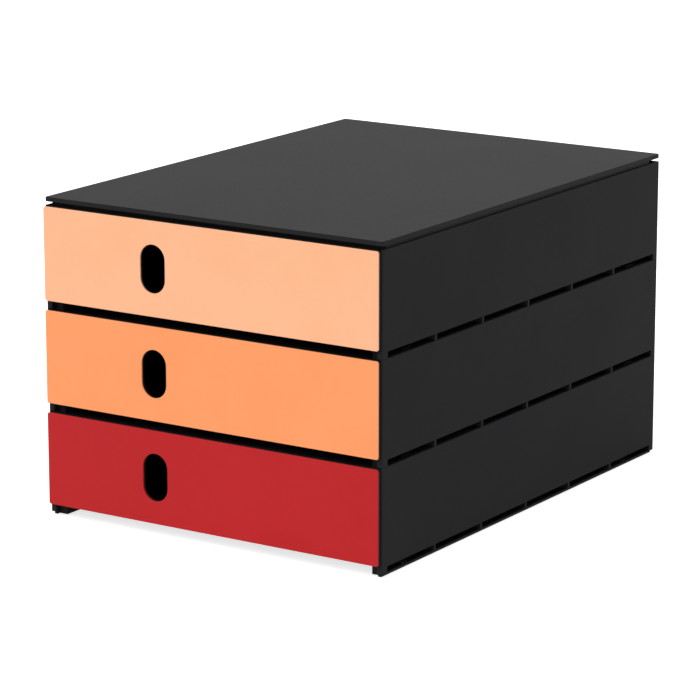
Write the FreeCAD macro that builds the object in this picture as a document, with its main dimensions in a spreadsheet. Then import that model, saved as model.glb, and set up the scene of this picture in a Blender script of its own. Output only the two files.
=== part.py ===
import FreeCAD, Part
import os
import Sketcher
from FreeCAD import Vector

# A stack of three alike drawer modules under one cover plate.
# +Z is up, the drawers open towards -Y, and the origin is below the middle of the stack, where it stands.
# Each module is modelled from its foot plane, the plane on which its rail stands.

DIMENSIONS = [
    # overall
    ("overall_width", 243.0, "outer width of housings and cover"),
    ("overall_depth", 334.0, "from the panels' outer face to the rear wall"),
    ("module_pitch", 64.3, "height that each module adds to the stack"),
    ("pad_stand", 0.4, "how far the rubber pads lift the stack"),
    # housing
    ("wall_thickness", 2.6, "side and rear walls"),
    ("housing_radius", 0.8, "upright outer corners of the housing"),
    ("deck_thickness", 2.2, "closed top of each module"),
    ("nest_depth", 1.7, "rim above the deck, and the foot ring that drops inside it"),
    ("rim_thickness", 1.2, "outer part of the wall that stands above the deck"),
    ("rim_edge", 0.3, "bevelled upper edge of the rim"),
    ("nest_clearance", 0.2, "play between rim and foot ring"),
    ("slot_height", 4.1, "shadow slot above the foot ring"),
    ("rail_web", 2.0, "upright wall at the back of the slots"),
    ("rail_setback", 3.8, "front end of the rails behind the housing's front"),
    ("ledge_thickness", 1.6, "top of the rail, on which the tray runs"),
    ("post_length", 5.8, "corner post beside the first and last slot"),
    ("post_width", 3.8, "corner post seen from the front"),
    ("rib_count", 5.0, "ribs across each side slot"),
    ("rear_rib_count", 3.0, "ribs across the rear slot"),
    ("rib_thickness", 2.2, "rib between two slots"),
    ("deck_setback", 3.2, "deck's front edge behind the housing's front"),
    ("bar_depth", 2.2, "stiffening bar under the deck's front edge"),
    ("stop_drop", 1.2, "how far bar and stop blocks hang below the deck"),
    # drawer front
    ("front_spacing", 5.9, "shadow gap between one front and the next"),
    ("front_bottom", 7.3, "lower edge of the front above the foot plane"),
    ("front_inset", 0.95, "front narrower than the housing, each side"),
    ("front_radius", 1.4, "corners of panel and front wall"),
    ("panel_thickness", 1.0, "coloured facing panel"),
    ("panel_edge", 0.3, "bevelled edge of the panel's outer face"),
    ("front_wall", 1.8, "front wall of the tray"),
    ("flange_depth", 1.2, "flange behind the upper edge of the front wall"),
    ("flange_thickness", 1.8, "thickness of that flange"),
    ("front_gap", 0.3, "closed front to housing"),
    ("hole_width", 18.0, "finger hole"),
    ("hole_height", 29.7, "finger hole"),
    ("hole_offset", 39.0, "finger hole's centre, left of the middle"),
    ("peg_radius", 1.5, "pegs on the panel's back"),
    ("peg_play", 0.1, "peg in its hole, on the radius"),
    ("peg_side_inset", 20.5, "peg's axis from the front's side edge"),
    ("peg_level_inset", 9.2, "peg's axis from the front's upper and lower edge"),
    # tray
    ("tray_wall", 1.8, "side and rear walls of the tray"),
    ("tray_floor", 1.8, "floor of the tray"),
    ("tray_side_play", 0.8, "tray to side wall"),
    ("tray_rear_play", 1.0, "tray to rear wall"),
    ("tray_top_play", 1.8, "tray to deck"),
    ("runner_play", 0.3, "tray to ledge"),
    ("tray_radius", 5.0, "upright corners of the tray at the rear"),
    ("cove_radius", 2.0, "inside edge between the tray's walls and floor"),
    ("tongue_width", 14.0, "springy stop tongues on the tray's rear wall"),
    ("tongue_spacing", 120.0, "between the tongues' middles"),
    ("tongue_rise", 1.4, "tongues above the tray's walls"),
    ("tongue_slit", 1.2, "slit beside each tongue"),
    ("tongue_length", 16.0, "depth of the slits"),
    ("stop_block", 2.5, "depth of the stop blocks under the deck"),
    ("drawer_travel", 250.0, "pull-out length to the stop"),
    ("stop_play", 0.3, "tongue to stop block, fully open"),
    # cover
    ("cover_thickness", 2.8, "cover plate"),
    ("cover_gap", 2.2, "shadow gap between cover plate and rim"),
    ("cover_radius", 1.2, "corners of the cover plate"),
    ("cover_edge", 0.5, "rounded upper edge of the cover plate"),
    ("lip_thickness", 1.6, "lip under the cover plate"),
    ("lip_front_inset", 5.5, "lip behind the plate's front edge"),
    ("lip_rear_inset", 11.1, "lip in front of the plate's rear edge"),
    ("cover_rib_count", 4.0, "stiffening ribs under the plate"),
    ("cover_rib_height", 2.4, "height of those ribs"),
    ("cover_rib_thickness", 1.4, "thickness of those ribs"),
    ("tab_length", 16.0, "cover's clip tabs, along the side"),
    # connector clips
    ("clip_length", 10.0, "flat snap clip, along the rail"),
    ("clip_end_inset", 31.2, "clip's middle from the housing's front and rear"),
    ("clip_shank", 3.0, "clip's thickness between its snaps"),
    ("clip_play", 0.1, "clip in its slot, each side"),
    ("snap_lip", 0.4, "snap beyond the shank, each side"),
    ("snap_taper", 0.5, "how much each side of a snap narrows towards its end"),
    ("snap_height", 1.2, "snap beyond deck and foot ring"),
    ("snap_wall_play", 0.2, "snap to the nearest wall outside it"),
    ("snap_web_play", 0.4, "snap to the rail's web"),
    ("collar_lip", 1.2, "collar beyond the shank, each side"),
    ("collar_height", 0.6, "thickness of the collar"),
    ("clip_slit", 0.7, "slit between the clip's two legs"),
    ("clip_web", 0.5, "whole shank left between collar and slit"),
    # pads
    ("pad_length", 18.0, "rubber pad"),
    ("pad_width", 5.6, "rubber pad"),
    ("pad_recess", 0.8, "pocket that holds the pad"),
    ("pad_play", 0.1, "pad in its pocket, each side"),
    ("pad_end_inset", 8.0, "pad's end from the housing's front and rear"),
    ("pad_edge", 0.3, "bevelled lower edge of the pad"),
]

LEVELS = ["bottom", "middle", "top"]
BEYOND = "1"    # cutting outlines run this far past the faces that they open

document = FreeCAD.newDocument("DrawerStack")
sheet = document.addObject("Spreadsheet::Sheet", "Sizes")
for row, (alias, size, note) in enumerate(DIMENSIONS, start=1):
    sheet.set(f"A{row}", alias)
    sheet.set(f"B{row}", str(size))
    sheet.setAlias(f"B{row}", alias)
    sheet.set(f"C{row}", note)
document.recompute()

# Places that several pieces share, as expressions on the sheet's cells. Heights are above the foot plane.
SIDE = "(Sizes.overall_width / 2)"
REAR = "(Sizes.overall_depth / 2)"
PANEL_BACK = f"(Sizes.panel_thickness - {REAR})"
WALL_BACK = f"({PANEL_BACK} + Sizes.front_wall)"
HOUSING_FRONT = f"({WALL_BACK} + Sizes.front_gap)"
RAIL_FRONT = f"({HOUSING_FRONT} + Sizes.rail_setback)"
DECK_FRONT = f"({HOUSING_FRONT} + Sizes.deck_setback)"
BAY_SIDE = f"({SIDE} - Sizes.wall_thickness)"
RIM_SIDE = f"({SIDE} - Sizes.rim_thickness)"
POST_SIDE = f"({SIDE} - Sizes.post_width)"
RING_INSET = "(Sizes.rim_thickness + Sizes.nest_clearance)"
RAIL_TOP = "(Sizes.nest_depth + Sizes.slot_height)"
LEDGE_TOP = f"({RAIL_TOP} + Sizes.ledge_thickness)"
DECK_TOP = "Sizes.module_pitch"
DECK_BOTTOM = "(Sizes.module_pitch - Sizes.deck_thickness)"
RIM_TOP = "(Sizes.module_pitch + Sizes.nest_depth)"
TRAY_BOTTOM = f"({LEDGE_TOP} + Sizes.runner_play)"
TRAY_INSIDE = f"({TRAY_BOTTOM} + Sizes.tray_floor)"
TRAY_TOP = f"({DECK_BOTTOM} - Sizes.tray_top_play)"
TRAY_SIDE = f"({BAY_SIDE} - Sizes.tray_side_play)"
TRAY_REAR = f"({REAR} - Sizes.wall_thickness - Sizes.tray_rear_play)"
FRONT_SIDE = f"({SIDE} - Sizes.front_inset)"
FRONT_HEIGHT = "(Sizes.module_pitch - Sizes.front_spacing)"
FRONT_TOP = f"(Sizes.front_bottom + {FRONT_HEIGHT})"
FRONT_MIDDLE = f"(Sizes.front_bottom + {FRONT_HEIGHT} / 2)"
COVER_BOTTOM = f"({RIM_TOP} + Sizes.cover_gap)"
SHANK_HALF = "(Sizes.clip_shank / 2)"
SNAP_HALF = f"({SHANK_HALF} + Sizes.snap_lip)"
COLLAR_HALF = f"({SHANK_HALF} + Sizes.collar_lip)"
LIP_INSIDE = f"({SIDE} - {RING_INSET} - Sizes.lip_thickness)"
CLIP_X = f"(min({BAY_SIDE}; {LIP_INSIDE}) - {SNAP_HALF} - Sizes.snap_wall_play)"
SLOT_INSET = f"({SIDE} - {CLIP_X} + {SNAP_HALF} + Sizes.snap_web_play)"
RAIL_INSET = f"({SLOT_INSET} + Sizes.rail_web)"
CLIP_FRONT = f"({HOUSING_FRONT} + Sizes.clip_end_inset)"
CLIP_REAR = f"({REAR} - Sizes.clip_end_inset)"
PAD_X = f"({SIDE} - ({RING_INSET} + {RAIL_INSET}) / 2)"
PAD_FRONT = f"({HOUSING_FRONT} + Sizes.pad_end_inset + Sizes.pad_length / 2)"
PAD_REAR = f"({REAR} - Sizes.pad_end_inset - Sizes.pad_length / 2)"

UPRIGHT = Vector(0, 0, 1)
INWARD = Vector(0, 1, 0)


def minus(expression):
    return f"(-{expression})"


def number(expression):
    return float(sheet.evalExpression(expression))


def new_body(name):
    body = document.addObject("PartDesign::Body", name)
    body.Label = name
    return body


def origin_feature(body, role):
    for feature in body.Origin.OriginFeatures:
        if feature.Role == role:
            return feature


def sketch_on(body, name, role, offset):
    """A sketch on one of the body's origin planes, moved along that plane's normal by an expression."""
    sketch = body.newObject("Sketcher::SketchObject", f"{body.Name}_{name}")
    sketch.AttachmentSupport = [(origin_feature(body, role), "")]
    sketch.MapMode = "FlatFace"
    sketch.setExpression("AttachmentOffset.Base.z", offset)
    return sketch


def hold_point(sketch, index, point, x, y):
    """Holds one point of the sketch at two expressions, measured from the sketch's origin."""
    for kind, expression in (("DistanceX", x), ("DistanceY", y)):
        rule = Sketcher.Constraint(kind, -1, 1, index, point, number(expression))
        place = sketch.addConstraint(rule)
        sketch.setExpression(f"Constraints[{place}]", expression)


def hold_radius(sketch, index, radius):
    place = sketch.addConstraint(Sketcher.Constraint("Radius", index, number(radius)))
    sketch.setExpression(f"Constraints[{place}]", radius)


def polygon(sketch, corners):
    """A closed straight-sided outline whose corners are each held by two expressions."""
    points = [Vector(number(x), number(y), 0) for x, y in corners]
    first = sketch.GeometryCount
    count = len(points)
    for turn in range(count):
        sketch.addGeometry(Part.LineSegment(points[turn], points[(turn + 1) % count]), False)
    for turn in range(count):
        following = first + (turn + 1) % count
        sketch.addConstraint(Sketcher.Constraint("Coincident", first + turn, 2, following, 1))
    for turn, (x, y) in enumerate(corners):
        hold_point(sketch, first + turn, 1, x, y)


def rectangle(sketch, left, right, low, high):
    polygon(sketch, [(left, low), (right, low), (right, high), (left, high)])


def circle(sketch, x, y, radius):
    middle = Vector(number(x), number(y), 0)
    index = sketch.addGeometry(Part.Circle(middle, UPRIGHT, number(radius)), False)
    hold_point(sketch, index, 3, x, y)
    hold_radius(sketch, index, radius)


def upright_slot(sketch, x, y, width, height):
    """A slot with round ends, standing upright in the sketch."""
    radius = f"({width} / 2)"
    reach = f"({height} / 2 - {radius})"
    top = Vector(number(x), number(f"{y} + {reach}"), 0)
    bottom = Vector(number(x), number(f"{y} - {reach}"), 0)
    out = Vector(number(radius), 0, 0)
    rise = Vector(0, number(radius), 0)
    first = sketch.GeometryCount
    sketch.addGeometry(Part.Arc(top + out, top + rise, top - out), False)
    sketch.addGeometry(Part.LineSegment(top - out, bottom - out), False)
    sketch.addGeometry(Part.Arc(bottom - out, bottom - rise, bottom + out), False)
    sketch.addGeometry(Part.LineSegment(bottom + out, top + out), False)
    for arc, line_in, line_out in ((first, first + 3, first + 1), (first + 2, first + 1, first + 3)):
        sketch.addConstraint(Sketcher.Constraint("Tangent", line_in, 2, arc, 1))
        sketch.addConstraint(Sketcher.Constraint("Tangent", arc, 2, line_out, 1))
    hold_point(sketch, first, 3, x, f"{y} + {reach}")
    hold_point(sketch, first + 2, 3, x, f"{y} - {reach}")
    hold_radius(sketch, first, radius)


def pad(body, name, sketch, length, reverse=False):
    feature = body.newObject("PartDesign::Pad", f"{body.Name}_{name}")
    feature.Profile = sketch
    feature.setExpression("Length", length)
    feature.Reversed = reverse
    document.recompute()
    return feature


def pocket(body, name, sketch, depth, reverse=False):
    before = body.Shape.Volume
    feature = body.newObject("PartDesign::Pocket", f"{body.Name}_{name}")
    feature.Profile = sketch
    feature.setExpression("Length", depth)
    feature.Reversed = reverse
    document.recompute()
    if body.Shape.Volume >= before:
        raise RuntimeError(f"{feature.Name} cuts nothing")
    return feature


def repeat(body, name, original, axis, length, count):
    """Repeats a feature in an even row along one of the body's axes."""
    row = body.newObject("PartDesign::LinearPattern", f"{body.Name}_{name}")
    row.Originals = [original]
    row.Direction = (origin_feature(body, axis), [""])
    row.setExpression("Length", length)
    row.setExpression("Occurrences", count)
    body.Tip = row
    document.recompute()
    return row


def straight_edges(feature, direction, accept):
    """Names of the feature's straight edges along a direction whose middle is accepted."""
    names = []
    for index, edge in enumerate(feature.Shape.Edges, start=1):
        if not isinstance(edge.Curve, Part.Line):
            continue
        if abs(abs(edge.Curve.Direction.dot(direction)) - 1) > 1e-6:
            continue
        if accept(edge.BoundBox.Center):
            names.append(f"Edge{index}")
    return names


def level_edges(feature, height, accept=lambda edge: True):
    """Names of the feature's edges that lie in one level plane."""
    names = []
    for index, edge in enumerate(feature.Shape.Edges, start=1):
        box = edge.BoundBox
        if abs(box.ZMin - height) < 1e-4 and abs(box.ZMax - height) < 1e-4 and accept(edge):
            names.append(f"Edge{index}")
    return names


def near(value, places):
    return min(abs(value - place) for place in places) < 1e-3


def corners_at(side, ends):
    """Accepts the middles of upright edges on both sides at the given places along the depth."""
    return lambda middle: near(abs(middle.x), [side]) and near(middle.y, ends)


def fillet(body, name, feature, edges, radius):
    rounding = body.newObject("PartDesign::Fillet", f"{body.Name}_{name}")
    rounding.Base = (feature, edges)
    rounding.setExpression("Radius", radius)
    document.recompute()
    return rounding


def chamfer(body, name, feature, edges, size):
    bevel = body.newObject("PartDesign::Chamfer", f"{body.Name}_{name}")
    bevel.Base = (feature, edges)
    bevel.setExpression("Size", size)
    document.recompute()
    return bevel


def stand_on_level(body, level):
    """Lifts a body from its foot plane to its place in the stack."""
    body.setExpression("Placement.Base.z", f"Sizes.pad_stand + Sizes.module_pitch * {level}")


# Housing

def rail_outline(sketch, outer, front):
    """The foot rails from above: two side rails, a rear rail and the narrow front posts."""
    right = f"({SIDE} - {outer})"
    rear = f"({REAR} - {outer})"
    inner = f"({SIDE} - {RAIL_INSET})"
    inner_rear = f"({REAR} - {RAIL_INSET})"
    half = [
        (right, rear), (right, front), (POST_SIDE, front),
        (POST_SIDE, RAIL_FRONT), (inner, RAIL_FRONT), (inner, inner_rear),
    ]
    polygon(sketch, half + [(minus(x), y) for x, y in reversed(half)])


def add_housing_shell(body):
    """The outer block, the band of ribs and posts below it, and the rounded upright corners."""
    sketch = sketch_on(body, "BlockPlan", "XY_Plane", RAIL_TOP)
    rectangle(sketch, minus(SIDE), SIDE, HOUSING_FRONT, REAR)
    pad(body, "Block", sketch, f"{RIM_TOP} - {RAIL_TOP}")
    sketch = sketch_on(body, "BandPlan", "XY_Plane", "Sizes.nest_depth")
    rail_outline(sketch, "0", HOUSING_FRONT)
    band = pad(body, "Band", sketch, "Sizes.slot_height")
    corners = corners_at(number(SIDE), [number(HOUSING_FRONT), number(REAR)])
    edges = straight_edges(band, UPRIGHT, corners)
    rounded = fillet(body, "UprightCorners", band, edges, "Sizes.housing_radius")
    upper = level_edges(rounded, number(RIM_TOP))
    chamfer(body, "UpperEdge", rounded, upper, "Sizes.rim_edge")


def cut_housing_hollows(body):
    """The drawer bay, the open underside, the recess inside the rim and the set-back deck."""
    before_front = f"({HOUSING_FRONT} - {BEYOND})"
    sketch = sketch_on(body, "BaySection", "XZ_Plane", minus(before_front))
    rectangle(sketch, minus(BAY_SIDE), BAY_SIDE, LEDGE_TOP, DECK_BOTTOM)
    pocket(body, "Bay", sketch, f"{REAR} - Sizes.wall_thickness - {before_front}")

    sketch = sketch_on(body, "UndersidePlan", "XY_Plane", RAIL_TOP)
    inner = f"({SIDE} - {RAIL_INSET})"
    inner_rear = f"({REAR} - {RAIL_INSET})"
    half = [(POST_SIDE, before_front), (POST_SIDE, RAIL_FRONT), (inner, RAIL_FRONT), (inner, inner_rear)]
    polygon(sketch, half + [(minus(x), y) for x, y in reversed(half)])
    pocket(body, "Underside", sketch, "Sizes.ledge_thickness", reverse=True)

    sketch = sketch_on(body, "RimPlan", "XY_Plane", RIM_TOP)
    rectangle(sketch, minus(RIM_SIDE), RIM_SIDE, before_front, f"{REAR} - Sizes.rim_thickness")
    pocket(body, "RimRecess", sketch, "Sizes.nest_depth")

    sketch = sketch_on(body, "DeckFrontPlan", "XY_Plane", DECK_TOP)
    rectangle(sketch, minus(BAY_SIDE), BAY_SIDE, before_front, DECK_FRONT)
    pocket(body, "DeckFront", sketch, "Sizes.deck_thickness")


def add_foot_ring(body):
    """The ring that drops inside the rim of the module below."""
    sketch = sketch_on(body, "RingPlan", "XY_Plane", "0")
    rail_outline(sketch, RING_INSET, f"({HOUSING_FRONT} + {RING_INSET})")
    pad(body, "FootRing", sketch, "Sizes.nest_depth")


def cut_slot_row(body, name, axis, start, run, ribs, place_slot):
    """A row of slots between thin ribs, open outwards and closed behind by the rail's web."""
    slot = f"(({run} - {ribs} * Sizes.rib_thickness) / ({ribs} + 1))"
    sketch = sketch_on(body, f"{name}SlotPlan", "XY_Plane", "Sizes.nest_depth")
    place_slot(sketch, start, f"({start} + {slot})")
    first = pocket(body, f"{name}Slot", sketch, "Sizes.slot_height", reverse=True)
    repeat(body, f"{name}Slots", first, axis, f"({slot} + Sizes.rib_thickness) * {ribs}", f"{ribs} + 1")


def cut_housing_slots(body):
    def side_slots(sketch, low, high):
        back = f"({SIDE} - {SLOT_INSET})"
        outside = f"({SIDE} + {BEYOND})"
        rectangle(sketch, back, outside, low, high)
        rectangle(sketch, minus(outside), minus(back), low, high)

    def rear_slot(sketch, left, right):
        rectangle(sketch, left, right, f"{REAR} - {SLOT_INSET}", f"{REAR} + {BEYOND}")

    depth_run = f"({REAR} - {HOUSING_FRONT} - 2 * Sizes.post_length)"
    width_run = f"(Sizes.overall_width - 2 * {RAIL_INSET})"
    front_start = f"({HOUSING_FRONT} + Sizes.post_length)"
    left_start = f"({RAIL_INSET} - {SIDE})"
    cut_slot_row(body, "Side", "Y_Axis", front_start, depth_run, "Sizes.rib_count", side_slots)
    cut_slot_row(body, "Rear", "X_Axis", left_start, width_run, "Sizes.rear_rib_count", rear_slot)


def add_drawer_stops(body):
    """The bar under the deck's front edge and the two blocks that stop the drawer."""
    sketch = sketch_on(body, "StopPlan", "XY_Plane", DECK_BOTTOM)
    rectangle(sketch, minus(BAY_SIDE), BAY_SIDE, DECK_FRONT, f"{DECK_FRONT} + Sizes.bar_depth")
    block_rear = f"({TRAY_REAR} - Sizes.tray_wall - Sizes.drawer_travel - Sizes.stop_play)"
    for side in ("-", ""):
        middle = f"({side}Sizes.tongue_spacing / 2)"
        left = f"({middle} - Sizes.tongue_width / 2)"
        right = f"({middle} + Sizes.tongue_width / 2)"
        rectangle(sketch, left, right, f"({block_rear} - Sizes.stop_block)", block_rear)
    pad(body, "BarAndStops", sketch, "Sizes.stop_drop", reverse=True)


def rectangles_at(sketch, places, half_width, half_length):
    """The same upright rectangle round each of several middles."""
    for x, y in places:
        left, right = f"({x} - {half_width})", f"({x} + {half_width})"
        rectangle(sketch, left, right, f"({y} - {half_length})", f"({y} + {half_length})")


def clip_slot(sketch, half_width):
    """Slots for the four clips, with play round a clip that is this wide."""
    places = [(x, y) for x in (CLIP_X, minus(CLIP_X)) for y in (CLIP_FRONT, CLIP_REAR)]
    half_length = "(Sizes.clip_length / 2 + Sizes.clip_play)"
    rectangles_at(sketch, places, f"({half_width} + Sizes.clip_play)", half_length)


def cut_clip_slots(body):
    """Clip slots through the deck and the foot ring, with seats for the collars in the deck."""
    for name, height, depth, half_width in (
        ("DeckSlots", DECK_TOP, "Sizes.deck_thickness", SHANK_HALF),
        ("CollarSeats", DECK_TOP, "Sizes.collar_height", COLLAR_HALF),
        ("RingSlots", "Sizes.nest_depth", "Sizes.nest_depth", SHANK_HALF),
    ):
        sketch = sketch_on(body, f"{name}Plan", "XY_Plane", height)
        clip_slot(sketch, half_width)
        pocket(body, name, sketch, depth)


def cut_pad_pockets(body):
    sketch = sketch_on(body, "PadPlan", "XY_Plane", "0")
    places = [(x, y) for x in (PAD_X, minus(PAD_X)) for y in (PAD_FRONT, PAD_REAR)]
    half_width = "(Sizes.pad_width / 2 + Sizes.pad_play)"
    rectangles_at(sketch, places, half_width, "(Sizes.pad_length / 2 + Sizes.pad_play)")
    pocket(body, "PadPockets", sketch, "Sizes.pad_recess", reverse=True)


def make_housing(level, level_name):
    body = new_body(f"housing_{level_name}")
    add_housing_shell(body)
    cut_housing_hollows(body)
    add_foot_ring(body)
    cut_housing_slots(body)
    add_drawer_stops(body)
    cut_clip_slots(body)
    cut_pad_pockets(body)
    stand_on_level(body, level)
    return body


# Drawer

def front_outline(sketch):
    rectangle(sketch, minus(FRONT_SIDE), FRONT_SIDE, "Sizes.front_bottom", FRONT_TOP)


def round_front_corners(body, feature):
    ends = [number("Sizes.front_bottom"), number(FRONT_TOP)]

    def at_corner(middle):
        return near(abs(middle.x), [number(FRONT_SIDE)]) and near(middle.z, ends)

    edges = straight_edges(feature, INWARD, at_corner)
    return fillet(body, "FrontCorners", feature, edges, "Sizes.front_radius")


def cut_finger_hole(body, behind):
    """The upright finger hole, cut forwards from a plane behind the front."""
    sketch = sketch_on(body, "FingerHoleOutline", "XZ_Plane", minus(behind))
    upright_slot(sketch, "(-Sizes.hole_offset)", FRONT_MIDDLE, "Sizes.hole_width", "Sizes.hole_height")
    pocket(body, "FingerHole", sketch, f"{behind} + {REAR} + {BEYOND}", reverse=True)


def peg_places(sketch, radius):
    side = f"({FRONT_SIDE} - Sizes.peg_side_inset)"
    for x in (side, minus(side)):
        for z in ("(Sizes.front_bottom + Sizes.peg_level_inset)", f"({FRONT_TOP} - Sizes.peg_level_inset)"):
            circle(sketch, x, z, radius)


def make_tray(level, level_name):
    body = new_body(f"drawer_tray_{level_name}")

    sketch = sketch_on(body, "FrontOutline", "XZ_Plane", minus(PANEL_BACK))
    front_outline(sketch)
    front = pad(body, "FrontWall", sketch, "Sizes.front_wall", reverse=True)
    round_front_corners(body, front)
    inside_front_wall = f"({WALL_BACK} - Sizes.front_wall / 2)"
    sketch = sketch_on(body, "FlangePlan", "XY_Plane", f"({FRONT_TOP} - Sizes.flange_thickness)")
    rectangle(sketch, minus(TRAY_SIDE), TRAY_SIDE, inside_front_wall, f"({WALL_BACK} + Sizes.flange_depth)")
    pad(body, "Flange", sketch, "Sizes.flange_thickness")

    sketch = sketch_on(body, "TrayPlan", "XY_Plane", TRAY_BOTTOM)
    rectangle(sketch, minus(TRAY_SIDE), TRAY_SIDE, inside_front_wall, TRAY_REAR)
    box = pad(body, "TrayBox", sketch, f"{TRAY_TOP} - {TRAY_BOTTOM}")
    edges = straight_edges(box, UPRIGHT, corners_at(number(TRAY_SIDE), [number(TRAY_REAR)]))
    fillet(body, "RearCorners", box, edges, "Sizes.tray_radius")

    sketch = sketch_on(body, "InsidePlan", "XY_Plane", TRAY_TOP)
    inside = f"({TRAY_SIDE} - Sizes.tray_wall)"
    inside_rear = f"({TRAY_REAR} - Sizes.tray_wall)"
    rectangle(sketch, minus(inside), inside, WALL_BACK, inside_rear)
    hollow = pocket(body, "Inside", sketch, f"{TRAY_TOP} - {TRAY_INSIDE}")
    edges = straight_edges(hollow, UPRIGHT, corners_at(number(inside), [number(inside_rear)]))
    corners = fillet(body, "InsideCorners", hollow, edges, "Sizes.tray_radius - Sizes.tray_wall")

    def is_floor_edge(edge):
        return edge.BoundBox.YMin > number(WALL_BACK) - 1e-3

    edges = level_edges(corners, number(TRAY_INSIDE), is_floor_edge)
    fillet(body, "FloorCove", corners, edges, "Sizes.cove_radius")

    add_tongues(body)
    cut_finger_hole(body, WALL_BACK)
    sketch = sketch_on(body, "PegHolePlan", "XZ_Plane", minus(PANEL_BACK))
    peg_places(sketch, "(Sizes.peg_radius + Sizes.peg_play)")
    pocket(body, "PegHoles", sketch, "Sizes.front_wall")
    stand_on_level(body, level)
    return body


def add_tongues(body):
    """Two springy tongues in the rear wall that rise above it and meet the stop blocks."""
    wall_inner = f"({TRAY_REAR} - Sizes.tray_wall)"
    middles = ("(-Sizes.tongue_spacing / 2)", "(Sizes.tongue_spacing / 2)")
    sketch = sketch_on(body, "TonguePlan", "XY_Plane", TRAY_TOP)
    for middle in middles:
        left, right = f"({middle} - Sizes.tongue_width / 2)", f"({middle} + Sizes.tongue_width / 2)"
        rectangle(sketch, left, right, wall_inner, TRAY_REAR)
    pad(body, "Tongues", sketch, "Sizes.tongue_rise")
    sketch = sketch_on(body, "SlitPlan", "XY_Plane", TRAY_TOP)
    low, high = f"({wall_inner} - {BEYOND})", f"({TRAY_REAR} + {BEYOND})"
    for middle in middles:
        for step in ("- Sizes.tongue_width / 2 - Sizes.tongue_slit", "+ Sizes.tongue_width / 2"):
            left = f"({middle} {step})"
            rectangle(sketch, left, f"({left} + Sizes.tongue_slit)", low, high)
    pocket(body, "TongueSlits", sketch, "Sizes.tongue_length")


def make_panel(level, level_name):
    body = new_body(f"drawer_front_{level_name}")
    sketch = sketch_on(body, "PanelOutline", "XZ_Plane", minus(PANEL_BACK))
    front_outline(sketch)
    plate = pad(body, "Plate", sketch, "Sizes.panel_thickness")
    rounded = round_front_corners(body, plate)
    face = -number(REAR)
    edges = [
        f"Edge{index}" for index, edge in enumerate(rounded.Shape.Edges, start=1)
        if near(edge.BoundBox.YMin, [face]) and near(edge.BoundBox.YMax, [face])
    ]
    chamfer(body, "FaceEdge", rounded, edges, "Sizes.panel_edge")
    cut_finger_hole(body, PANEL_BACK)
    sketch = sketch_on(body, "PegPlan", "XZ_Plane", minus(PANEL_BACK))
    peg_places(sketch, "Sizes.peg_radius")
    pad(body, "Pegs", sketch, "Sizes.front_wall", reverse=True)
    stand_on_level(body, level)
    return body


# Cover

def make_cover():
    """Cover plate with a lip, ribs and clip tabs that stand on the top module's deck."""
    body = new_body("top_cover")
    sketch = sketch_on(body, "PlatePlan", "XY_Plane", COVER_BOTTOM)
    rectangle(sketch, minus(SIDE), SIDE, HOUSING_FRONT, REAR)
    plate = pad(body, "Plate", sketch, "Sizes.cover_thickness")
    corners = corners_at(number(SIDE), [number(HOUSING_FRONT), number(REAR)])
    edges = straight_edges(plate, UPRIGHT, corners)
    rounded = fillet(body, "PlateCorners", plate, edges, "Sizes.cover_radius")
    upper = level_edges(rounded, number(f"{COVER_BOTTOM} + Sizes.cover_thickness"))
    fillet(body, "UpperEdge", rounded, upper, "Sizes.cover_edge")

    lip_side = f"({SIDE} - {RING_INSET})"
    lip_front = f"({HOUSING_FRONT} + Sizes.lip_front_inset)"
    lip_rear = f"({REAR} - Sizes.lip_rear_inset)"
    wall = "Sizes.lip_thickness"
    sketch = sketch_on(body, "LipPlan", "XY_Plane", COVER_BOTTOM)
    rectangle(sketch, minus(lip_side), lip_side, lip_front, lip_rear)
    lip_inner = f"({lip_side} - {wall})"
    rectangle(sketch, minus(lip_inner), lip_inner, f"({lip_front} + {wall})", f"({lip_rear} - {wall})")
    lip_height = f"({COVER_BOTTOM} - {DECK_TOP})"
    pad(body, "Lip", sketch, lip_height, reverse=True)

    sketch = sketch_on(body, "RibPlan", "XY_Plane", COVER_BOTTOM)
    half = "(Sizes.cover_rib_thickness / 2)"
    step = f"(({lip_rear} - {lip_front}) / (Sizes.cover_rib_count + 1))"
    first_middle = f"({lip_front} + {step})"
    rectangle(sketch, minus(lip_side), lip_side, f"({first_middle} - {half})", f"({first_middle} + {half})")
    rib = pad(body, "Rib", sketch, "Sizes.cover_rib_height", reverse=True)
    repeat(body, "Ribs", rib, "Y_Axis", f"{step} * (Sizes.cover_rib_count - 1)", "Sizes.cover_rib_count")

    tab_inner = f"({SIDE} - {RAIL_INSET})"
    tab_outer = f"({lip_side} - {wall} / 2)"
    sketch = sketch_on(body, "TabPlan", "XY_Plane", DECK_TOP)
    for y in (CLIP_FRONT, CLIP_REAR):
        low = f"({y} - Sizes.tab_length / 2)"
        high = f"({y} + Sizes.tab_length / 2)"
        rectangle(sketch, tab_inner, tab_outer, low, high)
        rectangle(sketch, minus(tab_outer), minus(tab_inner), low, high)
    pad(body, "ClipTabs", sketch, "Sizes.nest_depth")
    sketch = sketch_on(body, "TabSlotPlan", "XY_Plane", f"{DECK_TOP} + Sizes.nest_depth")
    clip_slot(sketch, SHANK_HALF)
    pocket(body, "TabSlots", sketch, "Sizes.nest_depth")
    stand_on_level(body, len(LEVELS) - 1)
    return body


# Connector clips and rubber pads

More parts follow.
